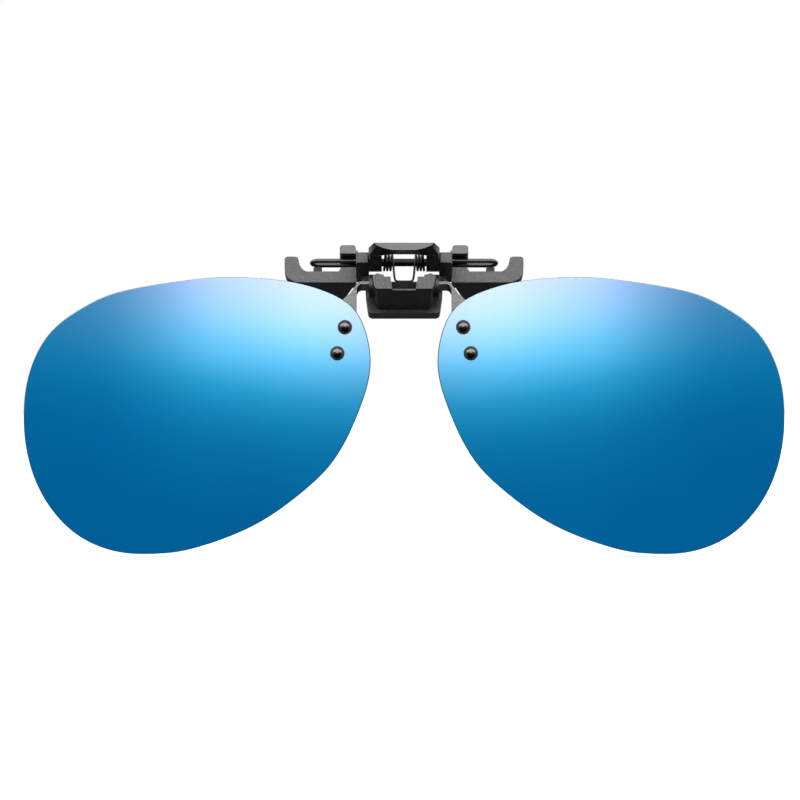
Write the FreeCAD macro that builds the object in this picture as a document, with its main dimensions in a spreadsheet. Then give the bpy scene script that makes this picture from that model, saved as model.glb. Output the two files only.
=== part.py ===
"""Clip-on flip lenses: two mirrored lenses on a hinged bracket, carried by a sprung clip.

Row frame: +X to the right, +Z up, the lenses face -Y.  The lenses are shown flipped up.
The clip is drawn in its own axes (x, b, h): b runs back toward the wearer, h runs up
when the clip sits on a pair of spectacles.  Both frames meet at the flip axis.
"""
import FreeCAD, Part
import math
import os

import Sketcher
from FreeCAD import Placement, Rotation, Vector

SIZES = [
    ("clip_turn", 70.0, "turn of the clip axes about X, degrees"),
    ("flip_axis_back", -6.392, "flip axis along Y, seen from the grip centre"),
    ("flip_axis_up", -4.697, "flip axis along Z, seen from the grip centre"),
    ("lens_across", 60.1, "lens width"),
    ("lens_thick", 1.0, "lens thickness"),
    ("lens_curve", 400.0, "radius of the front surface of a lens"),
    ("lens_wrap", 3.0, "lens turned back toward the temple, degrees"),
    ("lens_centre_side", 36.1, "lens centre from the middle"),
    ("lens_centre_up", -22.24, "lens centre above the flip axis"),
    ("lens_centre_back", -1.52, "back of a lens at its centre"),
    ("rivet_shank", 0.55, "radius"),
    ("rivet_hole", 0.6, "radius"),
    ("rivet_head", 0.9, "radius"),
    ("washer_rim", 1.25, "radius"),
    ("lens_back_at_rivet", -1.86, "back of a lens near its rivets"),
    ("tab_front", -1.55, "front face of the bracket tabs"),
    ("tab_back", -1.1, "back face of the bracket tabs"),
    ("strip_deep", 3.3, "depth of the bracket flange"),
    ("cam_rim", 1.66, "radius"),
    ("cam_bore", 1.72, "radius"),
    ("barrel_rim", 2.0, "radius"),
    ("pin_back", 3.6, "hinge pin from the flip axis, along b"),
    ("pin_high", 2.0, "hinge pin from the flip axis, along h"),
    ("pin_round", 0.675, "radius"),
    ("knuckle_bore", 0.73, "radius"),
    ("knuckle_rim", 1.45, "radius"),
    ("block_top", 6.0, "top of the finger block"),
    ("block_foot", -4.4, "bottom of the finger block"),
    ("block_front", -2.7, "front of the finger block"),
    ("tray_foot", -7.3, "bottom of the base tray"),
    ("claw_top", -3.0, "top of the claw bars"),
    ("claw_foot", -5.8, "bottom of the claw bars"),
    ("claw_front", 1.84, "front of the claw bars"),
    ("tip_face", 6.6, "face of the tip pads"),
    ("pad_thick", 0.6, "thickness of the tip pads"),
    ("wire_back", 5.9, "plane of the wire loops"),
    ("wire_upper", -3.27, "upper strand of a wire loop"),
    ("wire_lower", -5.47, "lower strand of a wire loop"),
    ("wire_end", 16.3, "outer end of a wire loop"),
    ("core_round", 0.25, "radius"),
    ("sleeve_round", 0.39, "radius"),
    ("spring_round", 0.19, "radius of the spring wire"),
    ("coil_round", 1.36, "mean radius of the spring coils"),
]

# Right lens, distances from its centre: temple side is positive, up is positive.
LENS_OUTLINE = [
    (-27.8, 0.0), (-30.2, 8.1), (-28.8, 15.7), (-25.4, 19.75), (-18.9, 22.25),
    (-12.8, 23.25), (-6.4, 23.55), (0.0, 23.2), (12.3, 21.3), (18.6, 18.7),
    (24.8, 14.3), (28.35, 7.6), (29.4, 0.0), (28.55, -7.75), (25.6, -14.8),
    (20.4, -20.5), (13.5, -23.45), (6.3, -23.7), (0.0, -22.8), (-10.8, -18.7),
    (-20.2, -11.7), (-24.6, -6.6),
]
OUTLINE_ACROSS = 59.6
RIVETS = {"upper": (10.2, -7.1), "lower": (11.5, -11.6)}
SIDES = {"left": -1, "right": 1}

doc = FreeCAD.newDocument("clip_on_flip_lenses")
sheet = doc.addObject("Spreadsheet::Sheet", "Sizes")


def fill_sheet():
    """Write every driving size into the sheet under its own name."""
    for row, (name, value, note) in enumerate(SIZES, start=1):
        sheet.set("A%d" % row, name)
        sheet.set("B%d" % row, str(value))
        sheet.set("C%d" % row, note)
        sheet.setAlias("B%d" % row, name)
    doc.recompute()


def size(name):
    """Read one size back from the sheet."""
    return float(sheet.get(name))


def drive(thing, prop, rule):
    """Tie a property to the sheet; a rule names sizes as Sizes.name."""
    thing.setExpression(prop, rule)


def flip_axis():
    return Vector(0, size("flip_axis_back"), size("flip_axis_up"))


def clip_frame():
    """Placement that carries the clip axes into the row frame."""
    return Placement(flip_axis(), Rotation(Vector(1, 0, 0), size("clip_turn")))


def lens_frame():
    """Placement of the bracket parts, whose axes match the row frame."""
    return Placement(flip_axis(), Rotation())


# ---- solids -------------------------------------------------------------------

def span(low_high):
    low, high = low_high
    return min(low, high), abs(high - low)


def box(name, across, back, high):
    """Box between two limits on each axis."""
    solid = doc.addObject("Part::Box", name)
    starts_lengths = [span(across), span(back), span(high)]
    solid.Length, solid.Width, solid.Height = [pair[1] for pair in starts_lengths]
    solid.Placement = Placement(Vector(*[pair[0] for pair in starts_lengths]), Rotation())
    return solid


def rod(name, radius_rule, across, back, high):
    """Round bar along X between two limits."""
    start, length = span(across)
    solid = doc.addObject("Part::Cylinder", name)
    drive(solid, "Radius", radius_rule)
    solid.Height = length
    solid.Placement = Placement(Vector(start, back, high), Rotation(Vector(0, 1, 0), 90))
    return solid


def plug(name, radius_rule, centre, back):
    """Round bar along Y between two limits, centred on an (x, z) point."""
    start, length = span(back)
    solid = doc.addObject("Part::Cylinder", name)
    drive(solid, "Radius", radius_rule)
    solid.Height = length
    solid.Placement = Placement(Vector(centre[0], start, centre[1]), Rotation(Vector(1, 0, 0), -90))
    return solid


PLANES = {
    "top": (Rotation(), lambda at: Vector(0, 0, at), Vector(0, 0, 1)),
    "face": (Rotation(Vector(1, 0, 0), 90), lambda at: Vector(0, at, 0), Vector(0, 1, 0)),
    "side": (Rotation(Vector(1, 1, 1), 120), lambda at: Vector(at, 0, 0), Vector(1, 0, 0)),
}


def outline(name, plane, points, at):
    """Closed polygon sketch on a plane parallel to the top, face or side plane."""
    turn, shift, _ = PLANES[plane]
    sketch = doc.addObject("Sketcher::SketchObject", name)
    count = len(points)
    for here in range(count):
        start = Vector(points[here][0], points[here][1], 0)
        end = Vector(points[(here + 1) % count][0], points[(here + 1) % count][1], 0)
        sketch.addGeometry(Part.LineSegment(start, end), False)
    for here in range(count):
        sketch.addConstraint(Sketcher.Constraint("Coincident", here, 2, (here + 1) % count, 1))
    sketch.Placement = Placement(shift(at), turn)
    return sketch


def prism(name, plane, points, low_high):
    """Polygon pushed straight from one limit to the other."""
    start, length = span(low_high)
    solid = doc.addObject("Part::Extrusion", name)
    solid.Base = outline(name + "_outline", plane, points, start)
    solid.DirMode = "Custom"
    solid.Dir = PLANES[plane][2]
    solid.LengthFwd = length
    solid.Solid = True
    return solid


def taper(name, lower, lower_at, upper, upper_at):
    """Solid between two polygons with the same number of corners."""
    solid = doc.addObject("Part::Loft", name)
    solid.Sections = [
        outline(name + "_lower", "top", lower, lower_at),
        outline(name + "_upper", "top", upper, upper_at),
    ]
    solid.Solid = True
    solid.Ruled = True
    return solid


def join(name, solids):
    whole = doc.addObject("Part::MultiFuse", name)
    whole.Shapes = solids
    whole.Refine = True
    return whole


def cut(name, base, tools):
    tool = tools[0] if len(tools) == 1 else join(name + "_tools", tools)
    rest = doc.addObject("Part::Cut", name)
    rest.Base = base
    rest.Tool = tool
    return rest


def mirrored(points):
    """Outline with its mirror image added, running back down the other side."""
    return points + [(-x, y) for x, y in reversed(points)]


def sided(points, side):
    return [(side * x, y) for x, y in points]


def finish(thing, label, frame):
    thing.Label = label
    thing.Placement = frame.multiply(thing.Placement)
    return thing


# ---- lenses and bracket ---------------------------------------------------------

blanks = {}


def make_lens(label, side):
    """Shell between two spheres, trimmed by the lens outline and drilled for two rivets."""
    scale = size("lens_across") / OUTLINE_ACROSS
    corners = [Vector(side * x * scale, z * scale, 0) for x, z in LENS_OUTLINE]
    rim = Part.BSplineCurve()
    rim.interpolate(corners, PeriodicFlag=True)
    sketch = doc.addObject("Sketcher::SketchObject", label + "_rim")
    sketch.addGeometry(rim, False)
    sketch.Placement = Placement(Vector(0, -6, 0), Rotation(Vector(1, 0, 0), 90))
    blank = doc.addObject("Part::Extrusion", label + "_blank")
    blank.Base = sketch
    blank.DirMode = "Custom"
    blank.Dir = Vector(0, 1, 0)
    blank.LengthFwd = 12
    blank.Solid = True
    balls = []
    for end, rule in (("front", "Sizes.lens_curve"), ("back", "Sizes.lens_curve - Sizes.lens_thick")):
        ball = doc.addObject("Part::Sphere", "%s_%s" % (label, end))
        drive(ball, "Radius", rule)
        drive(ball, "Placement.Base.y", "Sizes.lens_curve - Sizes.lens_thick")
        balls.append(ball)
    shaped = doc.addObject("Part::Common", label + "_shaped")
    shaped.Base = balls[0]
    shaped.Tool = blank
    hollow = cut(label + "_hollow", shaped, [balls[1]])
    centre = Vector(side * size("lens_centre_side"), size("lens_centre_back"), size("lens_centre_up"))
    set_back = Placement(centre, Rotation(Vector(0, 0, 1), side * size("lens_wrap")))
    hollow.Placement = set_back
    blanks[label] = hollow
    holes = []
    for spot, (x, z) in RIVETS.items():
        holes.append(plug("%s_%s_hole" % (label, spot), "Sizes.rivet_hole", (side * x, z), (-6, 2)))
    return finish(cut(label, hollow, holes), label, lens_frame())


def make_bracket():
    """Stamped strip: the flange runs through the clip and down to a tab behind each lens."""
    outer = [(7.6, 0.79), (8.1, 0.5), (8.47, -0.06), (9.31, -1.23), (10.62, -2.37), (12.2, -3.5)]
    inner = [(12.0, -3.9), (10.34, -2.73), (8.97, -1.53), (8.09, -0.28), (7.85, 0.14), (7.4, 0.34)]
    half = outer + inner
    strip = half + [(-x, z) for x, z in reversed(half)]
    flange = doc.addObject("Part::Extrusion", "flange")
    flange.Base = outline("flange_outline", "face", strip, size("tab_front"))
    flange.DirMode = "Custom"
    lean = math.radians(90.0 - size("clip_turn"))
    flange.Dir = Vector(0, math.cos(lean), -math.sin(lean))
    drive(flange, "LengthFwd", "Sizes.strip_deep")
    flange.Solid = True
    tab = [(8.16, -0.3), (9.14, -1.38), (10.48, -2.55), (12.2, -3.7), (13.5, -5.8), (13.9, -9.5),
           (13.4, -12.6), (12.2, -13.9), (10.8, -13.7), (9.4, -11.6), (8.5, -8.4), (8.16, -4.7)]
    pieces = [flange]
    holes = []
    for label, side in SIDES.items():
        pieces.append(prism(label + "_tab", "face", sided(tab, side), (size("tab_front"), size("tab_back"))))
        for spot, (x, z) in RIVETS.items():
            name = "%s_%s_tab_hole" % (label, spot)
            holes.append(plug(name, "Sizes.rivet_shank", (side * x, z), (-3, 1)))
        for edge, high in (("upper", (1.15, 3.0)), ("lower", (-3.0, -1.15))):
            neck = box("%s_%s_neck" % (label, edge), (side * 3.62, side * 5.93), (-2, 2), high)
            lean = Placement(Vector(), Rotation(Vector(1, 0, 0), size("clip_turn")))
            neck.Placement = lean.multiply(neck.Placement)
            holes.append(neck)
    body = join("bracket_body", pieces)
    return finish(cut("bridge_bracket", body, holes), "bridge_bracket", lens_frame())


def make_rivet(label, spot, centre, lens_blank):
    """Domed rivet with its rubber washer in front of the lens and its spacer behind it."""
    name = "%s_%s" % (label, spot)
    lens_back = size("lens_back_at_rivet")
    lens_face = lens_back - size("lens_thick")
    head = lens_face - 0.2
    rear = size("tab_back")
    shank = plug(name + "_shank", "Sizes.rivet_shank", centre, (head - 0.1, rear + 0.3))
    collar = plug(name + "_peened", "Sizes.rivet_head", centre, (rear, rear + 0.35))
    rim = plug(name + "_rim", "Sizes.rivet_head", centre, (head - 0.12, head))
    ball = doc.addObject("Part::Sphere", name + "_ball")
    ball.Radius = 1.3
    ball.Placement = Placement(Vector(centre[0], head + 0.74, centre[1]), Rotation())
    trim = plug(name + "_trim", "Sizes.rivet_head", centre, (head - 1.0, head - 0.1))
    dome = doc.addObject("Part::Common", name + "_dome")
    dome.Base = ball
    dome.Tool = trim
    rivet = join(name + "_rivet", [shank, collar, rim, dome])
    made = [finish(rivet, name + "_rivet", lens_frame())]
    reaches = (("washer", head, lens_face + 0.3), ("spacer", lens_back - 0.3, size("tab_front")))
    for kind, near, far in reaches:
        disc = plug("%s_%s_disc" % (name, kind), "Sizes.washer_rim", centre, (near, far))
        bore = plug("%s_%s_bore" % (name, kind), "Sizes.rivet_shank", centre, (near - 1, far + 1))
        drilled = cut("%s_%s_drilled" % (name, kind), disc, [bore])
        ring = cut("%s_%s" % (name, kind), drilled, [lens_blank])
        made.append(finish(ring, "%s_%s" % (name, kind), lens_frame()))
    return made


def make_cam(label, side):
    """Moulded cam on the strip, with a flat for each resting position of the lenses."""
    disc = rod(label + "_cam_disc", "Sizes.cam_rim", (side * 3.65, side * 5.9), 0, 0)
    slot = box(label + "_cam_slot", (side * 3.0, side * 6.5), (-0.23, 0.23), (-1.15, 1.15))
    down = box(label + "_cam_flat_up", (side * 3.0, side * 6.5), (-2, 2), (-2, -1.42))
    away = box(label + "_cam_flat_down", (side * 3.0, side * 6.5), (-2, 2), (-2, -1.42))
    flip = Placement(Vector(), Rotation(Vector(1, 0, 0), -size("clip_turn")))
    away.Placement = flip.multiply(away.Placement)
    return finish(cut(label + "_cam", disc, [slot, down, away]), label + "_cam", clip_frame())


# ---- front jaw -------------------------------------------------------------------

def block_outline(front_half):
    """Plan of the finger block; its front narrows toward the foot."""
    front = size("block_front")
    half = [(3.4, -0.48), (3.67, -0.16), (4.6, 0.13), (5.45, -0.28),
            (front_half + 0.12, front + 0.3), (front_half - 0.2, front)]
    return half + [(-x, b) for x, b in reversed(half)]


def finger_block():
    """Block pressed by the finger, with a notch for the spring and a channel for the strip."""
    foot, top = size("block_foot"), size("block_top")
    solid = taper("finger_solid", block_outline(4.5), foot, block_outline(4.95), top)
    notch = [(2.12, -2.45), (2.45, 0.5)]
    notch_outline = notch + [(-x, b) for x, b in reversed(notch)]
    cuts = [
        prism("spring_notch", "top", notch_outline, (3.3, top + 1)),
        prism("notch_slope", "side", [(-2.45, 2.0), (-0.4, 3.36), (-2.45, 3.36)], (-2.1, 2.1)),
        box("notch_lip", (-2.05, 2.05), (size("block_front") - 1, -2.4), (5.2, top + 1)),
        box("strip_channel", (-3.5, 3.5), (-1.85, 3), (-1.9, 1.9)),
    ]
    return cut("finger_block", solid, cuts)


def hinge_barrel(label, side):
    """Barrel that holds a cam, its foot, and the web that reaches back to the post."""
    edge = (side * 3.5, side * 6.02)
    return [
        rod(label + "_barrel", "Sizes.barrel_rim", edge, 0, 0),
        box(label + "_barrel_foot", edge, (-0.2, 1.9), (size("block_foot"), 0)),
        box(label + "_web_front", (side * 5.6, side * 7.4), (0.9, 2.0), (size("block_foot"), -2.1)),
        box(label + "_web_back", (side * 6.05, side * 7.4), (1.9, 3.5), (size("block_foot"), -2.1)),
    ]


def post(label, side):
    """Upright that carries the hinge pin, bevelled round its top."""
    low, high = size("block_foot") - 0.7, 4.0
    wide = [(6.05, 2.63), (8.28, 2.63), (8.28, 4.83), (6.05, 4.83)]
    slim = [(6.3, 2.88), (8.03, 2.88), (8.03, 4.58), (6.3, 4.58)]
    shaft = prism(label + "_post_shaft", "top", sided(wide, side), (low, high - 0.25))
    crown = taper(label + "_post_crown", sided(wide, side), high - 0.25, sided(slim, side), high)
    return [shaft, crown]


def claw(label, side):
    """Claw bar that bends back at its tip, with the gusset that hangs below it."""
    plan = [(8.2, 1.84), (17.6, 1.84), (18.6, 1.93), (19.4, 2.18), (20.0, 2.62), (20.4, 3.35),
            (20.62, 4.3), (20.68, 5.2), (20.68, 6.0), (18.25, 6.0), (18.17, 5.6), (18.04, 5.05),
            (17.82, 4.62), (17.52, 4.25), (17.14, 3.96), (16.8, 3.86), (11.3, 3.86), (10.9, 4.6),
            (8.2, 4.6)]
    tip = size("tip_face") - size("pad_thick")
    plan = [(x, tip if b == 6.0 else b) for x, b in plan]
    gusset = [(8.24, -3.1), (8.45, -4.0), (9.55, -8.3), (10.6, -12.4), (11.4, -14.4), (12.2, -15.0),
              (13.0, -14.5), (14.2, -11.2), (16.0, -8.0), (18.2, -5.9), (19.0, -4.2), (19.0, -3.1)]
    front = size("claw_front")
    return [
        prism(label + "_claw_bar", "top", sided(plan, side), (size("claw_foot"), size("claw_top"))),
        prism(label + "_gusset", "face", sided(gusset, side), (front, front + 1.1)),
    ]


def make_front_jaw():
    pieces = [finger_block()]
    cuts = []
    for label, side in SIDES.items():
        pieces += hinge_barrel(label, side) + post(label, side) + claw(label, side)
        cuts.append(rod(label + "_cam_bore", "Sizes.cam_bore", (side * 3.3, side * 6.3), 0, 0))
        cuts.append(box(label + "_leaf_room", (side * 3.3, side * 5.0), (-1.1, 1.1), (-2.6, -1.4)))
    pin_hole = rod("post_pin_hole", "Sizes.pin_round", (-7.6, 7.6), size("pin_back"), size("pin_high"))
    cuts.append(pin_hole)
    cuts.append(box("leaf_seat", (-3.6, 3.6), (-1.1, 1.1), (-1.92, -1.0)))
    whole = join("front_jaw_solid", pieces)
    return finish(cut("front_jaw_moulding", whole, cuts), "front_jaw_moulding", clip_frame())


def make_tray():
    """Base tray that closes the bottom of the block; it keeps a shallow hollow."""
    half = [(6.65, 0.83), (6.62, 0.3), (6.22, -2.7), (6.0, -3.1), (5.55, -3.3)]
    plate = prism("tray_plate", "top", mirrored(half), (size("tray_foot"), size("block_foot")))
    hollow = box("tray_hollow", (-4.2, 4.2), (-2.0, 0.0), (size("tray_foot") + 0.9, size("block_foot") + 1))
    return finish(cut("base_tray", plate, [hollow]), "base_tray", clip_frame())


def make_leaf():
    """Flat detent spring that bears on the cam flats."""
    leaf = box("detent_leaf", (-4.9, 4.9), (-1.0, 1.0), (-1.87, -1.72))
    return finish(leaf, "detent_leaf", clip_frame())


def make_pin():
    pin = rod("hinge_pin", "Sizes.pin_round", (-7.6, 7.6), size("pin_back"), size("pin_high"))
    return finish(pin, "hinge_pin", clip_frame())


def make_tip_pad(label, side):
    """Soft cap on a claw tip; its flat face meets the spectacles."""
    face = size("tip_face")
    base = face - size("pad_thick")
    plan = [(18.25, base), (20.68, base), (20.66, face - 0.4), (20.5, face - 0.13), (20.2, face),
            (18.85, face), (18.45, face - 0.13), (18.27, face - 0.4)]
    pad = prism(label + "_tip_pad", "top", sided(plan, side), (size("claw_foot"), size("claw_top")))
    return finish(pad, label + "_tip_pad", clip_frame())


def make_stop_pad(label, side):
    """Nub on the claw bar that stops the wire loop."""
    plan = [(14.2, 3.86), (15.7, 3.86), (15.7, 5.2), (15.45, 5.42), (14.45, 5.42), (14.2, 5.2)]
    shelf = prism(label + "_stop_pad", "top", sided(plan, side), (-6.1, -5.0))
    return finish(shelf, label + "_stop_pad", clip_frame())


# ---- rear jaw ----------------------------------------------------------------------

def wire_loop(name, radius_rule, side, start):
    """Bar bent into a long loop: two strands and a round end."""
    upper = size("wire_upper")
    lower = size("wire_lower")
    back = size("wire_back")
    bend = (upper - lower) / 2.0
    turn_at = size("wire_end") - size("sleeve_round") - bend
    strands = [
        rod(name + "_upper", radius_rule, (side * start, side * turn_at), back, upper),
        rod(name + "_lower", radius_rule, (side * start, side * turn_at), back, lower),
    ]
    ring = doc.addObject("Part::Torus", name + "_bend")
    ring.Radius1 = bend
    drive(ring, "Radius2", radius_rule)
    ring.Angle3 = 180
    middle = Vector(side * turn_at, back, (upper + lower) / 2.0)
    upright = Rotation(Vector(1, 0, 0), 90)
    outward = Rotation(Vector(0, 1, 0), 90 * side)
    ring.Placement = Placement(middle, outward.multiply(upright))
    return join(name, strands + [ring])


def make_press_tab():
    """Thumb tab, hinge knuckles, and the arms and ears that hold the wire loops."""
    top = [(5.15, 4.8), (4.75, 4.35), (3.5, 3.8), (2.0, 3.47)]
    low = [(6.12, 4.6), (6.12, 3.1), (4.3, 3.1), (2.0, 3.35)]
    pad = taper("thumb_pad", mirrored(low), 6.6, mirrored(top), 8.5)
    profile = [(3.0, 1.0), (5.1, -3.0), (5.1, -6.5), (7.0, -6.5), (7.0, -2.9), (5.05, 1.8),
               (4.75, 6.62), (3.1, 6.62), (2.45, 2.6)]
    ear = [(8.0, 6.42), (10.7, 6.42), (11.0, 6.55), (11.12, 6.9), (11.12, 7.5), (10.98, 7.82),
           (10.7, 7.95), (8.75, 7.95), (8.45, 7.82), (8.34, 7.5), (8.3, 7.0), (8.0, 7.0)]
    pieces = [pad]
    cuts = []
    for label, side in SIDES.items():
        arm = (side * 3.85, side * 5.96)
        pieces.append(rod(label + "_knuckle", "Sizes.knuckle_rim", arm, size("pin_back"), size("pin_high")))
        pieces.append(prism(label + "_arm", "side", profile, arm))
        pieces.append(box(label + "_shoulder", (side * 3.85, side * 8.2), (5.1, 7.0), (-6.5, -3.0)))
        pieces.append(prism(label + "_ear", "top", sided(ear, side), (-6.5, -1.0)))
        for strand in ("upper", "lower"):
            seat = size("wire_" + strand)
            name = "%s_%s_seat" % (label, strand)
            cuts.append(rod(name, "Sizes.core_round", (side * 6.6, side * 9.0), size("wire_back"), seat))
    bore = rod("knuckle_bore", "Sizes.knuckle_bore", (-7, 7), size("pin_back"), size("pin_high"))
    cuts.append(bore)
    whole = join("press_tab_solid", pieces)
    return finish(cut("press_tab", whole, cuts), "press_tab", clip_frame())


def make_wire(label, side):
    """Steel loop and the glossy sleeve pushed over it."""
    core = wire_loop(label + "_wire_core", "Sizes.core_round", side, 6.6)
    outer = wire_loop(label + "_sleeve_outer", "Sizes.sleeve_round", side, 8.25)
    inner = wire_loop(label + "_sleeve_inner", "Sizes.core_round", side, 7.0)
    sleeve = cut(label + "_wire_sleeve", outer, [inner])
    return [
        finish(core, label + "_wire_core", clip_frame()),
        finish(sleeve, label + "_wire_sleeve", clip_frame()),
    ]


def spring_path():
    """Centre line of the double spring: leg, coil, crossbar, coil, leg."""
    coil = size("coil_round")
    back, high = size("pin_back"), size("pin_high")
    leg = [Vector(3.25, 3.45, 6.25), Vector(3.3, 3.0, 4.9), Vector(3.4, 2.45, 3.4)]
    steps = 33
    turns = []
    for step in range(steps + 1):
        share = step / steps
        angle = math.radians(185.0 + share * 980.0)
        x = 3.46 - share * 1.5
        turns.append(Vector(x, back + coil * math.cos(angle), high + coil * math.sin(angle)))
    run = [Vector(1.86, 2.7, 3.42), Vector(1.75, 1.3, 3.3), Vector(1.62, 0.3, 3.1)]
    bar = [Vector(1.4, -0.14, 3.02), Vector(1.0, -0.26, 3.0), Vector(0.4, -0.27, 3.0)]
    half = leg + turns + run + bar
    return half + [Vector(-point.x, point.y, point.z) for point in reversed(half)]


def make_spring():
    """Round wire carried along the spring path; no primitive follows this line."""
    points = spring_path()
    line = Part.BSplineCurve()
    line.interpolate(points)
    path = Part.Wire([line.toShape()])
    along = points[1] - points[0]
    section = Part.Wire([Part.makeCircle(size("spring_round"), points[0], along)])
    solid = path.makePipeShell([section], True, False)
    spring = doc.addObject("Part::Feature", "torsion_spring")
    spring.Shape = solid
    return finish(spring, "torsion_spring", clip_frame())


# ---- whole part ----------------------------------------------------------------------

def build():
    fill_sheet()
    nodes = [make_bracket(), make_front_jaw(), make_tray(), make_leaf(), make_pin()]
    nodes += [make_press_tab(), make_spring()]
    for label, side in SIDES.items():
        nodes.append(make_lens(label + "_lens", side))
        for spot, (x, z) in RIVETS.items():
            nodes += make_rivet(label, spot, (side * x, z), blanks[label + "_lens"])
        nodes.append(make_cam(label, side))
        nodes.append(make_tip_pad(label, side))
        nodes.append(make_stop_pad(label, side))
        nodes += make_wire(label, side)
    doc.recompute()
    return nodes


def check(nodes):
    """Stop when any step of the design has failed."""
    for thing in doc.Objects:
        if "Invalid" in thing.State or "Error" in thing.State:
            raise RuntimeError("%s failed: %s" % (thing.Name, thing.State))
    for node in nodes:
        shape = node.Shape
        if shape.isNull() or not shape.isValid() or shape.Volume <= 0:
            raise RuntimeError("%s has no sound solid" % node.Label)


def export(nodes):
    os.makedirs("parts", exist_ok=True)
    for node in nodes:
        node.Shape.exportStep("parts/%s.step" % node.Label)


made = build()
check(made)
export(made)
for node in made:
    limits = node.Shape.BoundBox
    print("%-22s solids %d volume %9.3f  x %.2f %.2f  y %.2f %.2f  z %.2f %.2f" % (
        node.Label, len(node.Shape.Solids), node.Shape.Volume, limits.XMin, limits.XMax,
        limits.YMin, limits.YMax, limits.ZMin, limits.ZMax))
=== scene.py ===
"""Looks for the clip-on flip lenses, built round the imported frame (metres, row axes)."""
import math

import bpy
from mathutils import Matrix, Vector


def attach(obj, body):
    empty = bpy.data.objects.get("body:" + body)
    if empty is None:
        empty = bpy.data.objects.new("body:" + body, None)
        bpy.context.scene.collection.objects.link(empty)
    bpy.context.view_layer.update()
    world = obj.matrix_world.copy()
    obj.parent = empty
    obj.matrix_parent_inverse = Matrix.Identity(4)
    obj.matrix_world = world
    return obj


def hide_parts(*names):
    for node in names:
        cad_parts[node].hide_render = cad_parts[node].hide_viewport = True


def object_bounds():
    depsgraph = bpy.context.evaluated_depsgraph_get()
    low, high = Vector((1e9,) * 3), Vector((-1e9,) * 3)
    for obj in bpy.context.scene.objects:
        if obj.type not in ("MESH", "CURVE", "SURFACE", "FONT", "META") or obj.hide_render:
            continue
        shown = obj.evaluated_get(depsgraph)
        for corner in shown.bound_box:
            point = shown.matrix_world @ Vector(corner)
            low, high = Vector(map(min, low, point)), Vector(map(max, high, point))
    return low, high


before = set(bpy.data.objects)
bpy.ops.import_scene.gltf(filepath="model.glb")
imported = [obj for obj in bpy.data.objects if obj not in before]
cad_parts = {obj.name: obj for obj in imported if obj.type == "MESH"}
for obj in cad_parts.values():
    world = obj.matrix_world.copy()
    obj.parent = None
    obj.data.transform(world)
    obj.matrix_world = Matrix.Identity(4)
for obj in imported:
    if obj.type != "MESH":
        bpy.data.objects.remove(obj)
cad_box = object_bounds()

MM = 0.001
CLIP_LEAN = math.radians(70.0)
FLIP_AXIS = Vector((0.0, -6.392, -4.697))
SHARP_EDGE = math.radians(32.0)
SIDES = {"left": -1, "right": 1}

LENS_RADIUS = 400.0
LENS_THICK = 1.0
LENS_WRAP = math.radians(3.0)
LENS_CENTRE = (36.1, -1.52, -22.24)
LENS_SCALE = 60.2 / 59.6
LENS_STEPS = 28
RIM_INSETS = (-0.3, -0.13, -0.08)
EDGE_INSET = -0.03
LENS_OUTLINE = [
    (-27.8, 0.0), (-30.2, 8.1), (-28.8, 15.7), (-25.4, 19.75), (-18.9, 22.25),
    (-12.8, 23.25), (-6.4, 23.55), (0.0, 23.2), (12.3, 21.3), (18.6, 18.7),
    (24.8, 14.3), (28.35, 7.6), (29.4, 0.0), (28.55, -7.75), (25.6, -14.8),
    (20.4, -20.5), (13.5, -23.45), (6.3, -23.7), (0.0, -22.8), (-10.8, -18.7),
    (-20.2, -11.7), (-24.6, -6.6),
]
RIVETS = {"upper": (10.2, -7.1), "lower": (11.5, -11.6)}
LENS_FACE_AT_RIVET = -2.86

BRIGHTEST = 8.0
DOME_STRENGTH = 1.3

CLIP_TO_ROW = Matrix.Translation(FLIP_AXIS) @ Matrix.Rotation(CLIP_LEAN, 4, "X")
LENS_TO_ROW = Matrix.Translation(FLIP_AXIS)


# ---- meshes ---------------------------------------------------------------------

def make_piece(name, points, faces, place, materials, face_slots=None):
    """Mesh object from points in millimetres, carried into the row frame by place."""
    mesh = bpy.data.meshes.new(name)
    mesh.from_pydata([(place @ Vector(point)) * MM for point in points], [], faces)
    for material in materials:
        mesh.materials.append(material)
    for index, face in enumerate(mesh.polygons):
        face.use_smooth = True
        if face_slots:
            face.material_index = face_slots[index]
    mesh.validate()
    piece = bpy.data.objects.new(name, mesh)
    bpy.context.scene.collection.objects.link(piece)
    return piece


def bridge_rings(count, rings):
    """Quads between consecutive closed rings of count points each, numbered in order."""
    faces = []
    for ring in range(rings - 1):
        for here in range(count):
            following = (here + 1) % count
            a, b = ring * count + here, ring * count + following
            faces.append((a, b, b + count, a + count))
    return faces


def smooth_loop(corners, steps):
    """Closed curve through the corners, with the same number of steps between each pair."""
    count = len(corners)
    curve = []
    for here in range(count):
        before, start = Vector(corners[here - 1]), Vector(corners[here])
        end, after = Vector(corners[(here + 1) % count]), Vector(corners[(here + 2) % count])
        for step in range(steps):
            t = step / steps
            point = 0.5 * (2 * start + (end - before) * t
                           + (2 * before - 5 * start + 4 * end - after) * t * t
                           + (3 * start - before - 3 * end + after) * t ** 3)
            curve.append(point)
    return curve


def fair_loop(curve, passes):
    """Evens out the bends of a closed curve."""
    for _ in range(passes):
        following = curve[1:] + curve[:1]
        curve = [0.25 * curve[i - 1] + 0.5 * curve[i] + 0.25 * following[i] for i in range(len(curve))]
    return curve


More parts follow.
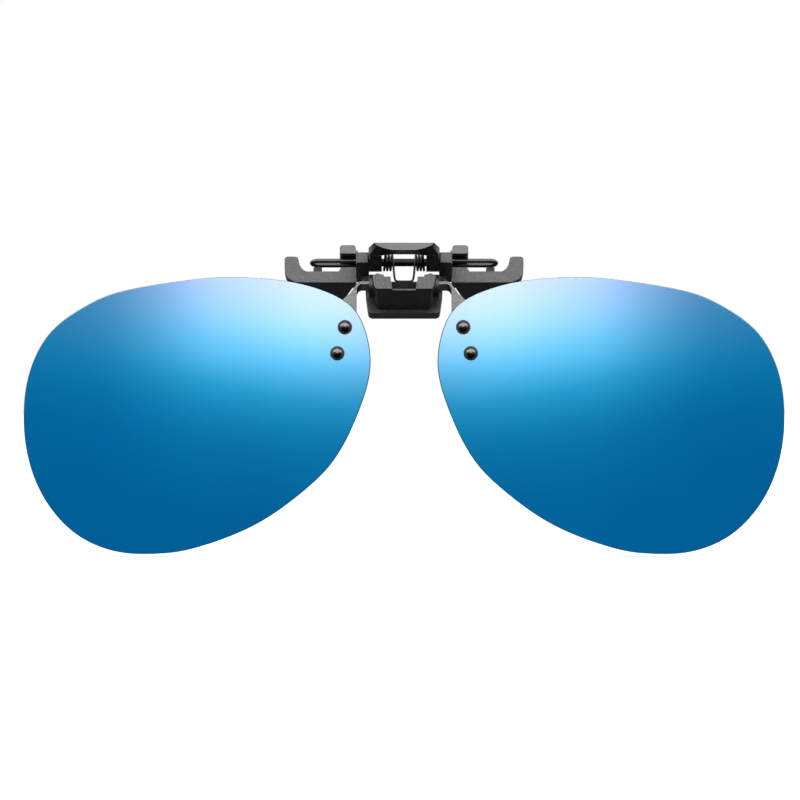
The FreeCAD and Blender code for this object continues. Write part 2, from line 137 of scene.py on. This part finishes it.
def lens_mesh(side):
    """Points, faces and material numbers of one lens: bowed front, rounded rim, bowed back."""
    corners = [(x * LENS_SCALE, z * LENS_SCALE) for x, z in LENS_OUTLINE]
    rim = fair_loop(smooth_loop(corners, 12), 24)
    count = len(rim)
    shares = [step / LENS_STEPS for step in range(1, LENS_STEPS)]
    loops = [(share, 0.0, "front") for share in shares]
    loops += [(1.0, inset, "front") for inset in RIM_INSETS]
    loops += [(1.0, EDGE_INSET, "edge_front"), (1.0, 0.0, "edge_near")]
    loops += [(1.0, 0.0, "edge_far"), (1.0, EDGE_INSET, "edge_back")]
    loops += [(1.0, inset, "back") for inset in reversed(RIM_INSETS)]
    loops += [(share, 0.0, "back") for share in reversed(shares)]
    depth = {"front": 0.0, "edge_front": 0.025, "edge_near": 0.08, "edge_far": LENS_THICK - 0.08,
             "edge_back": LENS_THICK - 0.025, "back": LENS_THICK}
    points = []
    for share, inset, kind in loops:
        for spot in rim:
            reach = spot.length
            flat = spot * (share + inset / reach)
            sag = (flat.x ** 2 + flat.y ** 2) / (2 * LENS_RADIUS)
            points.append((side * flat.x, sag - LENS_THICK + depth[kind], flat.y))
    faces = bridge_rings(count, len(loops))
    slots = []
    front_loops = LENS_STEPS + 1
    for ring in range(len(loops) - 1):
        slots += [0 if ring < front_loops else 1] * count
    front_middle, back_middle = len(points), len(points) + 1
    points += [(0.0, -LENS_THICK, 0.0), (0.0, 0.0, 0.0)]
    last = (len(loops) - 1) * count
    for here in range(count):
        following = (here + 1) % count
        faces.append((front_middle, following, here))
        slots.append(0)
        faces.append((back_middle, last + here, last + following))
        slots.append(1)
    if side < 0:
        faces = [tuple(reversed(face)) for face in faces]
    return points, faces, slots


def make_lens(label, side, materials):
    points, faces, slots = lens_mesh(side)
    x, y, z = LENS_CENTRE
    wrap = Matrix.Rotation(side * LENS_WRAP, 4, "Z")
    place = LENS_TO_ROW @ Matrix.Translation(Vector((side * x, y, z))) @ wrap
    piece = make_piece(label + "_mirror_lens", points, faces, place, materials, slots)
    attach(piece, "lens_carrier")
    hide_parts(label + "_lens")


def tube(name, path, radius, place, material, sides=24, end_share=0.72):
    """Round rod along a path, narrowed to end_share of its radius at both ends."""
    path = [Vector(point) for point in path]
    points = []
    side_way = None
    for here, spot in enumerate(path):
        along = (path[min(here + 1, len(path) - 1)] - path[max(here - 1, 0)]).normalized()
        if side_way is None:
            side_way = along.orthogonal().normalized()
        side_way = (side_way - along * side_way.dot(along)).normalized()
        other_way = along.cross(side_way)
        at_end = here in (0, len(path) - 1)
        wide = radius * (end_share if at_end else 1.0)
        for step in range(sides):
            angle = 2 * math.pi * step / sides
            points.append(spot + wide * (math.cos(angle) * side_way + math.sin(angle) * other_way))
    faces = bridge_rings(sides, len(path))
    faces = [tuple(reversed(face)) for face in faces]
    first = tuple(range(sides))
    last = tuple(reversed(range(len(points) - sides, len(points))))
    return make_piece(name, points, faces + [first, last], place, [material])


def lathe(name, profile, centre, place, material, sides=48):
    """Turned piece about the Y direction; the profile is (radius, y) from the front inward."""
    points = []
    for radius, y in profile:
        for step in range(sides):
            angle = 2 * math.pi * step / sides
            across, rise = radius * math.cos(angle), radius * math.sin(angle)
            points.append((centre[0] + across, y, centre[1] + rise))
    faces = [tuple(reversed(face)) for face in bridge_rings(sides, len(profile))]
    caps = [tuple(reversed(range(sides))), tuple(range(len(points) - sides, len(points)))]
    return make_piece(name, points, faces + caps, place, [material])


# ---- moving and fixed pieces -------------------------------------------------------

def make_rivet(label, side, spot, material, rubber):
    """Domed rivet head over a rounded black washer."""
    x, z = RIVETS[spot]
    centre = (side * x, z)
    face = LENS_FACE_AT_RIVET
    head_radius, dome_rise, head_base, dome_steps = 0.88, 0.38, 0.3, 12
    dome = []
    for step in range(1, dome_steps + 1):
        angle = math.radians(90.0 * step / dome_steps)
        dome.append((head_radius * math.sin(angle), face - head_base - dome_rise * math.cos(angle)))
    stem = [(head_radius, face - 0.25), (0.84, face - 0.2), (0.55, face - 0.19), (0.55, -1.1),
            (0.84, -1.1), (0.9, -1.05), (0.9, -0.85), (0.82, -0.77), (0.45, -0.74)]
    rivet = lathe("%s_%s_rivet_head" % (label, spot), dome + stem, centre, LENS_TO_ROW, material)
    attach(rivet, "lens_carrier")
    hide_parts("%s_%s_rivet" % (label, spot))
    ring = [(0.56, face), (0.56, face - 0.18), (0.7, face - 0.2), (1.1, face - 0.2),
            (1.2, face - 0.17), (1.25, face - 0.1), (1.25, face)]
    washer = lathe("%s_%s_washer_ring" % (label, spot), ring, centre, LENS_TO_ROW, rubber)
    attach(washer, "lens_carrier")
    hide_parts("%s_%s_washer" % (label, spot))


def make_sleeve(label, side, material):
    """Glossy sleeve bent into the long loop that presses on the spectacles."""
    back, upper, lower, turn = 5.9, -3.27, -5.47, 14.81
    middle, bend = (upper + lower) / 2, (upper - lower) / 2
    straight = (8.25, 8.4, 10.0, 12.5, 14.5)
    sleeve_radius, turn_steps = 0.39, 24
    path = [(side * x, back, upper) for x in straight]
    for step in range(turn_steps + 1):
        angle = math.radians(90 - 180 * step / turn_steps)
        path.append((side * (turn + bend * math.cos(angle)), back, middle + bend * math.sin(angle)))
    path += [(side * x, back, lower) for x in reversed(straight)]
    sleeve = tube(label + "_loop_sleeve", path, sleeve_radius, CLIP_TO_ROW, material)
    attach(sleeve, "rear_jaw")
    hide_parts(label + "_wire_sleeve")


def make_spring(material):
    """Double torsion spring round the hinge pin, joined by the bar that rests on the block."""
    coil, back, high = 1.36, 3.6, 2.0
    wire_radius, steps = 0.19, 90
    coil_start, coil_sweep = 185.0, 980.0
    coil_outer, coil_run = 3.46, 1.5
    half = [Vector((3.25, 3.45, 6.25)), Vector((3.27, 3.2, 5.5)), Vector((3.3, 2.95, 4.7)),
            Vector((3.35, 2.62, 3.9)), Vector((3.4, 2.4, 3.2)), Vector((3.44, 2.27, 2.5))]
    for step in range(steps + 1):
        share = step / steps
        angle = math.radians(coil_start + share * coil_sweep)
        x = coil_outer - share * coil_run
        half.append(Vector((x, back + coil * math.cos(angle), high + coil * math.sin(angle))))
    half += [Vector((1.86, 2.7, 3.42)), Vector((1.8, 2.0, 3.37)), Vector((1.75, 1.3, 3.3)),
             Vector((1.69, 0.8, 3.21)), Vector((1.62, 0.3, 3.1)), Vector((1.53, 0.03, 3.05)),
             Vector((1.4, -0.14, 3.02)), Vector((1.2, -0.23, 3.0)), Vector((1.0, -0.26, 3.0)),
             Vector((0.4, -0.27, 3.0))]
    path = half + [Vector((-point.x, point.y, point.z)) for point in reversed(half)]
    spring = tube("double_torsion_spring", path, wire_radius, CLIP_TO_ROW, material, sides=14)
    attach(spring, "clip_body")
    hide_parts("torsion_spring")


def finish_node(name, material, bevel):
    """Gives a CAD node its material and softens its edges."""
    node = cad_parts[name]
    node.data.materials.clear()
    node.data.materials.append(material)
    if bevel:
        soften = node.modifiers.new("soft_edges", "BEVEL")
        soften.width = bevel * MM
        soften.segments = 3
        soften.limit_method = "ANGLE"
        soften.angle_limit = SHARP_EDGE
        soften.harden_normals = True
    for face in node.data.polygons:
        face.use_smooth = True


# ---- materials ------------------------------------------------------------------------

def set_stops(band, stops):
    """Places the stops of a colour ramp; a plain number means a grey."""
    elements = [band.elements[0], band.elements[1]]
    elements[0].position, elements[1].position = stops[0][0], stops[-1][0]
    shades = [shade if isinstance(shade, tuple) else (shade, shade, shade) for _, shade in stops]
    elements[0].color, elements[1].color = (*shades[0], 1.0), (*shades[-1], 1.0)
    for (spot, _), shade in zip(stops[1:-1], shades[1:-1]):
        band.elements.new(spot).color = (*shade, 1.0)


class Sheet:
    """A node tree with its Principled shader and object coordinates ready to use."""

    def __init__(self, name):
        self.material = bpy.data.materials.new(name)
        self.material.use_nodes = True
        self.tree = self.material.node_tree
        self.shader = self.tree.nodes["Principled BSDF"]
        self.place = self.tree.nodes.new("ShaderNodeTexCoord").outputs["Object"]

    def join(self, source, target):
        self.tree.links.new(source, target)

    def noise(self, size_mm, detail=4.0, roughness=0.55):
        """Noise whose features are about size_mm across."""
        node = self.tree.nodes.new("ShaderNodeTexNoise")
        node.inputs["Scale"].default_value = 1.0 / (size_mm * MM)
        node.inputs["Detail"].default_value = detail
        node.inputs["Roughness"].default_value = roughness
        self.join(self.place, node.inputs["Vector"])
        return node.outputs["Fac"]

    def stretched_noise(self, size_mm, stretch, detail=3.0):
        """Noise drawn out along an axis, as brushing leaves it."""
        mapping = self.tree.nodes.new("ShaderNodeMapping")
        mapping.inputs["Scale"].default_value = stretch
        self.join(self.place, mapping.inputs["Vector"])
        node = self.tree.nodes.new("ShaderNodeTexNoise")
        node.inputs["Scale"].default_value = 1.0 / (size_mm * MM)
        node.inputs["Detail"].default_value = detail
        self.join(mapping.outputs["Vector"], node.inputs["Vector"])
        return node.outputs["Fac"]

    def ramp(self, source, stops):
        node = self.tree.nodes.new("ShaderNodeValToRGB")
        set_stops(node.color_ramp, stops)
        self.join(source, node.inputs["Fac"])
        return node.outputs["Color"]

    def by_height(self, stops, side_drop):
        """Colour by height above the grip centre, in metres, sinking toward the sides."""
        split = self.tree.nodes.new("ShaderNodeSeparateXYZ")
        self.join(self.place, split.inputs["Vector"])
        sideways = self.tree.nodes.new("ShaderNodeMath")
        sideways.operation = "ABSOLUTE"
        self.join(split.outputs["X"], sideways.inputs[0])
        height = self.tree.nodes.new("ShaderNodeMath")
        height.operation = "MULTIPLY_ADD"
        self.join(sideways.outputs["Value"], height.inputs[0])
        height.inputs[1].default_value = -side_drop
        self.join(split.outputs["Z"], height.inputs[2])
        low, high = stops[0][0], stops[-1][0]
        spread = self.tree.nodes.new("ShaderNodeMapRange")
        spread.inputs["From Min"].default_value = low
        spread.inputs["From Max"].default_value = high
        self.join(height.outputs["Value"], spread.inputs["Value"])
        shades = [((z - low) / (high - low), shade) for z, shade in stops]
        return self.ramp(spread.outputs["Result"], shades)

    def grain(self, source, depth_mm, strength=0.5):
        """Bump of the given depth."""
        node = self.tree.nodes.new("ShaderNodeBump")
        node.inputs["Strength"].default_value = strength
        node.inputs["Distance"].default_value = depth_mm * MM
        self.join(source, node.inputs["Height"])
        self.join(node.outputs["Normal"], self.shader.inputs["Normal"])

    def set(self, **values):
        for socket, value in values.items():
            title = socket.replace("_", " ").title().replace("Ior", "IOR")
            self.shader.inputs[title].default_value = value


def plastic(name, dark, light, rough, grain_mm, depth_mm, coat=0.0, strength=0.5):
    """Moulded plastic: cloudy tone, uneven gloss and a fine moulded grain."""
    cloud_mm, patch_mm, uneven = 1.6, 0.5, 0.06
    sheet = Sheet(name)
    tone = sheet.ramp(sheet.noise(cloud_mm), [(0.35, dark), (0.65, light)])
    sheet.join(tone, sheet.shader.inputs["Base Color"])
    gloss = sheet.ramp(sheet.noise(patch_mm), [(0.3, rough - uneven), (0.7, rough + uneven)])
    sheet.join(gloss, sheet.shader.inputs["Roughness"])
    sheet.grain(sheet.noise(grain_mm, 2.0), depth_mm, strength)
    sheet.set(coat_weight=coat, coat_roughness=0.08)
    return sheet.material


def metal(name, dark, light, rough, stretch, depth_mm):
    """Steel with fine drawn or brushed lines."""
    line_mm, uneven = 0.12, 0.07
    sheet = Sheet(name)
    lines = sheet.stretched_noise(line_mm, stretch)
    sheet.join(sheet.ramp(lines, [(0.3, dark), (0.7, light)]), sheet.shader.inputs["Base Color"])
    gloss = sheet.ramp(lines, [(0.3, rough - uneven), (0.7, rough + uneven)])
    sheet.join(gloss, sheet.shader.inputs["Roughness"])
    sheet.grain(lines, depth_mm, 0.4)
    sheet.set(metallic=1.0)
    return sheet.material


def mirror_front():
    """Blue mirror coating under a clear hard coat with faint wipe marks; a specular tint that turns
    paler toward the brow paints in the reflection of a bright panel above.
    """
    sheet = Sheet("blue_mirror_coating")
    dark, light = (0.0, 0.14, 0.4), (0.0, 0.153, 0.425)
    tone = sheet.ramp(sheet.noise(22.0, 2.0), [(0.3, dark), (0.7, light)])
    sheet.join(tone, sheet.shader.inputs["Base Color"])
    wipes = sheet.stretched_noise(3.0, (1.0, 1.0, 0.25), 5.0)
    gloss = sheet.ramp(wipes, [(0.35, 0.05), (0.75, 0.085)])
    sheet.join(gloss, sheet.shader.inputs["Roughness"])
    sheet.grain(sheet.noise(9.0, 1.0), 0.0016, 0.2)
    # Painted reflection: the specular tint grows paler with height, standing in for the bright panel
    # seen in the lens.
    painted_reflection_stops = [
        (-0.033, (0.0, 0.71, 1.0)), (-0.028, (0.03, 0.71, 1.0)), (-0.0205, (0.2, 0.71, 1.0)),
        (-0.0163, (0.36, 0.71, 1.0)), (-0.0113, (0.54, 0.7, 1.0)), (-0.0078, (0.63, 0.7, 1.0)),
    ]
    painted_reflection_tint = sheet.by_height(painted_reflection_stops, side_drop=0.2)
    sheet.join(painted_reflection_tint, sheet.shader.inputs["Specular Tint"])
    sheet.set(ior=2.8, coat_weight=0.25, coat_roughness=0.03)
    return sheet.material


def lens_back():
    """Tinted lens plastic behind the coating."""
    sheet = Sheet("smoke_lens_back")
    dark, light = (0.015, 0.019, 0.021), (0.017, 0.0215, 0.024)
    tone = sheet.ramp(sheet.noise(6.0), [(0.3, dark), (0.75, light)])
    sheet.join(tone, sheet.shader.inputs["Base Color"])
    gloss = sheet.ramp(sheet.noise(2.0, 5.0), [(0.35, 0.05), (0.75, 0.1)])
    sheet.join(gloss, sheet.shader.inputs["Roughness"])
    sheet.grain(sheet.noise(5.0, 1.0), 0.001, 0.3)
    sheet.set(ior=1.28, coat_weight=0.08, coat_roughness=0.04)
    return sheet.material


# ---- surroundings -----------------------------------------------------------------------

class Sky:
    """The world's node tree, with the direction a ray comes from split into its parts."""

    def __init__(self, name):
        world = bpy.data.worlds.new(name)
        bpy.context.scene.world = world
        world.use_nodes = True
        self.tree = world.node_tree
        self.tree.nodes.clear()
        self.rays = self.tree.nodes.new("ShaderNodeLightPath")
        split = self.tree.nodes.new("ShaderNodeSeparateXYZ")
        direction = self.tree.nodes.new("ShaderNodeTexCoord").outputs["Generated"]
        self.tree.links.new(direction, split.inputs["Vector"])
        self.up, self.back = split.outputs["Z"], split.outputs["Y"]
        self.sideways = self.combine("ABSOLUTE", split.outputs["X"], 0.0)

    def feed(self, source, socket):
        """Gives a socket its value: a number, or the output of another node."""
        if isinstance(source, float):
            socket.default_value = source
        else:
            self.tree.links.new(source, socket)

    def ramp(self, source, low, high, stops):
        """Colour ramp over a value that runs from low to high."""
        spread = self.tree.nodes.new("ShaderNodeMapRange")
        spread.inputs["From Min"].default_value = low
        spread.inputs["From Max"].default_value = high
        self.feed(source, spread.inputs["Value"])
        node = self.tree.nodes.new("ShaderNodeValToRGB")
        set_stops(node.color_ramp, [((spot - low) / (high - low), shade) for spot, shade in stops])
        self.feed(spread.outputs["Result"], node.inputs["Fac"])
        return node.outputs["Color"]

    def combine(self, kind, first, second):
        node = self.tree.nodes.new("ShaderNodeMath")
        node.operation = kind
        self.feed(first, node.inputs[0])
        self.feed(second, node.inputs[1])
        return node.outputs["Value"]

    def background(self, strength):
        node = self.tree.nodes.new("ShaderNodeBackground")
        node.inputs["Color"].default_value = (1.0, 1.0, 1.0, 1.0)
        self.feed(strength, node.inputs["Strength"])
        return node.outputs["Background"]

    def choose(self, ray, others, chosen):
        """The chosen light for rays of the named kind, and the other for the rest."""
        node = self.tree.nodes.new("ShaderNodeMixShader")
        self.feed(self.rays.outputs[ray], node.inputs["Fac"])
        self.feed(others, node.inputs[1])
        self.feed(chosen, node.inputs[2])
        return node.outputs["Shader"]


def front_light(sky):
    """A tall panel in front under a broad canopy, as shares of the brightest light."""
    panel_rise = [(-0.2, 0.03), (-0.108, 0.05), (-0.082, 0.1), (-0.056, 0.2), (-0.028, 0.38),
                  (-0.008, 0.68), (0.013, 1.2), (0.034, 2.1), (0.054, 3.3), (0.075, 4.2),
                  (0.096, 4.8), (0.2, 5.2), (0.4, 0.0)]
    panel_spread = [(0.0, 1.0), (0.03, 0.96), (0.057, 0.87), (0.083, 0.79), (0.109, 0.7),
                    (0.135, 0.52), (0.16, 0.36), (0.19, 0.22), (0.212, 0.15), (0.24, 0.12),
                    (0.36, 0.06), (1.0, 0.03)]
    canopy_rise = [(0.2, 0.0), (0.4, 0.75), (0.65, 0.85), (0.8, 0.5), (0.95, 0.25), (1.0, 0.2)]
    height = sky.ramp(sky.up, -0.2, 0.4, [(z, level / BRIGHTEST) for z, level in panel_rise])
    panel = sky.combine("MULTIPLY", height, sky.ramp(sky.sideways, 0.0, 1.0, panel_spread))
    from_above = sky.combine("ADD", panel, sky.ramp(sky.up, 0.0, 1.0, canopy_rise))
    in_front = sky.ramp(sky.back, -1.0, 1.0, [(-0.4, 1.0), (0.0, 0.5), (0.4, 0.06), (1.0, 0.04)])
    return sky.combine("MULTIPLY", from_above, in_front)


def surround_glow(sky):
    """Faint light all round, with a soft glow at the sides and behind."""
    faint_rise = [(-0.5, 0.002), (-0.06, 0.003), (0.0, 0.006), (0.08, 0.014), (1.0, 0.05)]
    faint = sky.ramp(sky.up, -1.0, 1.0, faint_rise)
    upward = sky.ramp(sky.up, -1.0, 1.0, [(-0.3, 0.1), (0.0, 0.45), (0.3, 1.0)])
    at_sides = sky.ramp(sky.sideways, 0.0, 1.0, [(0.5, 0.0), (0.75, 0.16), (1.0, 0.22)])
    behind = sky.ramp(sky.back, -1.0, 1.0, [(0.4, 0.0), (0.9, 0.14)])
    around = sky.combine("ADD", at_sides, behind)
    return sky.combine("ADD", faint, sky.combine("MULTIPLY", upward, around))


def studio_world():
    """White to the eye; reflections show the panel and its surroundings; a dome lights evenly."""
    sky = Sky("studio")
    shares = sky.combine("ADD", front_light(sky), surround_glow(sky))
    reflected = sky.background(sky.combine("MULTIPLY", shares, BRIGHTEST))
    dome = sky.ramp(sky.up, -1.0, 1.0, [(-0.15, 0.5), (0.05, 1.0)])
    even = sky.background(sky.combine("MULTIPLY", dome, DOME_STRENGTH))
    lit = sky.choose("Is Glossy Ray", even, reflected)
    surface = sky.choose("Is Camera Ray", lit, sky.background(1.0))
    output = sky.tree.nodes.new("ShaderNodeOutputWorld")
    sky.feed(surface, output.inputs["Surface"])


def make_floor():
    """Plain white floor just below the lenses."""
    gap, size = 0.4, 20000.0
    level = cad_box[0][2] / MM - gap
    corners = [(-size, -size), (size, -size), (size, size), (-size, size)]
    points = [(x, y, level) for x, y in corners]
    sheet = Sheet("white_floor")
    tone = sheet.ramp(sheet.noise(60.0), [(0.3, 0.9), (0.7, 0.93)])
    sheet.join(tone, sheet.shader.inputs["Base Color"])
    sheet.set(roughness=0.55)
    floor = make_piece("floor", points, [(0, 1, 2, 3)], Matrix(), [sheet.material])
    floor.visible_glossy = False
    floor.visible_diffuse = False


def area_light(name, spot_mm, aim_mm, size_mm, watts):
    """Rectangular soft light at a spot, turned toward the aim."""
    lamp = bpy.data.lights.new(name, "AREA")
    lamp.shape = "RECTANGLE"
    lamp.size, lamp.size_y = size_mm[0] * MM, size_mm[1] * MM
    lamp.energy = watts
    holder = bpy.data.objects.new(name, lamp)
    holder.location = Vector(spot_mm) * MM
    aim = (Vector(aim_mm) - Vector(spot_mm)).to_track_quat("-Z", "Y")
    holder.rotation_euler = aim.to_euler()
    bpy.context.scene.collection.objects.link(holder)


def make_lights():
    """One weak softbox high in front; the rest of the light is the surroundings'."""
    area_light("top_softbox", spot_mm=(0, -120, 520), aim_mm=(0, 0, -20), size_mm=(500, 300), watts=0.9)


def make_camera():
    """Long lens, level with the middle of the object and square to the lenses."""
    camera = bpy.data.cameras.new("camera")
    holder = bpy.data.objects.new("camera", camera)
    distance, width_seen, lens_plane, sensor_mm = 2.0, 0.1379, -0.0092, 36.0
    middle_x, middle_z = -0.0007, -0.02435
    camera.sensor_width = sensor_mm
    camera.lens = sensor_mm * (distance + lens_plane) / width_seen
    holder.location = Vector((middle_x, -distance, middle_z))
    holder.rotation_euler = (math.radians(90), 0.0, 0.0)
    bpy.context.scene.collection.objects.link(holder)
    bpy.context.scene.camera = holder


# ---- assembly ---------------------------------------------------------------------------

def dress_clip():
    jaw = plastic("grained_black_plastic", (0.004, 0.004, 0.0042), (0.013, 0.013, 0.0133),
                  rough=0.44, grain_mm=0.24, depth_mm=0.09, strength=1.0)
    tray = plastic("satin_black_plastic", (0.02, 0.02, 0.0205), (0.032, 0.032, 0.033),
                   rough=0.4, grain_mm=0.2, depth_mm=0.03)
    tab = plastic("glossy_black_plastic", (0.006, 0.006, 0.006), (0.01, 0.01, 0.01),
                  rough=0.34, grain_mm=0.3, depth_mm=0.008, coat=0.1)
    pad = plastic("grey_rubber", (0.05, 0.05, 0.052), (0.07, 0.07, 0.072),
                  rough=0.6, grain_mm=0.15, depth_mm=0.015)
    dark_rubber = plastic("black_rubber", (0.008, 0.008, 0.008), (0.014, 0.014, 0.014),
                          rough=0.7, grain_mm=0.15, depth_mm=0.01)
    vinyl = plastic("black_vinyl", (0.005, 0.005, 0.005), (0.008, 0.008, 0.008),
                    rough=0.36, grain_mm=0.5, depth_mm=0.002, coat=0.15)
    cam = plastic("cam_plastic", (0.04, 0.04, 0.04), (0.06, 0.06, 0.06),
                  rough=0.4, grain_mm=0.2, depth_mm=0.01)
    dark_steel = metal("blackened_steel", (0.008, 0.008, 0.0085), (0.02, 0.02, 0.021),
                       rough=0.36, stretch=(1, 1, 8), depth_mm=0.004)
    wire_steel = metal("drawn_steel", (0.35, 0.35, 0.36), (0.5, 0.5, 0.5),
                       rough=0.3, stretch=(0.1, 1, 1), depth_mm=0.004)
    finish_node("front_jaw_moulding", jaw, 0.14)
    finish_node("base_tray", tray, 0.2)
    finish_node("press_tab", tab, 0.18)
    finish_node("hinge_pin", dark_steel, 0.05)
    finish_node("detent_leaf", wire_steel, 0.03)
    for label, side in SIDES.items():
        finish_node(label + "_tip_pad", pad, 0.1)
        finish_node(label + "_stop_pad", dark_rubber, 0.08)
        finish_node(label + "_cam", cam, 0.06)
        finish_node(label + "_wire_core", wire_steel, 0.0)
        make_sleeve(label, side, vinyl)
    make_spring(dark_steel)


def dress_lenses():
    steel = metal("satin_bracket_steel", (0.14, 0.136, 0.133), (0.27, 0.263, 0.257),
                  rough=0.32, stretch=(0.15, 1, 1), depth_mm=0.006)
    nickel = metal("dark_nickel", (0.055, 0.049, 0.046), (0.095, 0.086, 0.08),
                   rough=0.2, stretch=(1, 1, 1), depth_mm=0.002)
    rubber = plastic("washer_rubber", (0.004, 0.004, 0.004), (0.008, 0.008, 0.008),
                     rough=0.7, grain_mm=0.15, depth_mm=0.01)
    glass = [mirror_front(), lens_back()]
    finish_node("bridge_bracket", steel, 0.07)
    for label, side in SIDES.items():
        make_lens(label, side, glass)
        for spot in RIVETS:
            make_rivet(label, side, spot, nickel, rubber)
            finish_node("%s_%s_spacer" % (label, spot), rubber, 0.03)


dress_clip()
dress_lenses()
studio_world()
make_floor()
make_lights()
make_camera()
bpy.context.scene.view_settings.view_transform = "Standard"
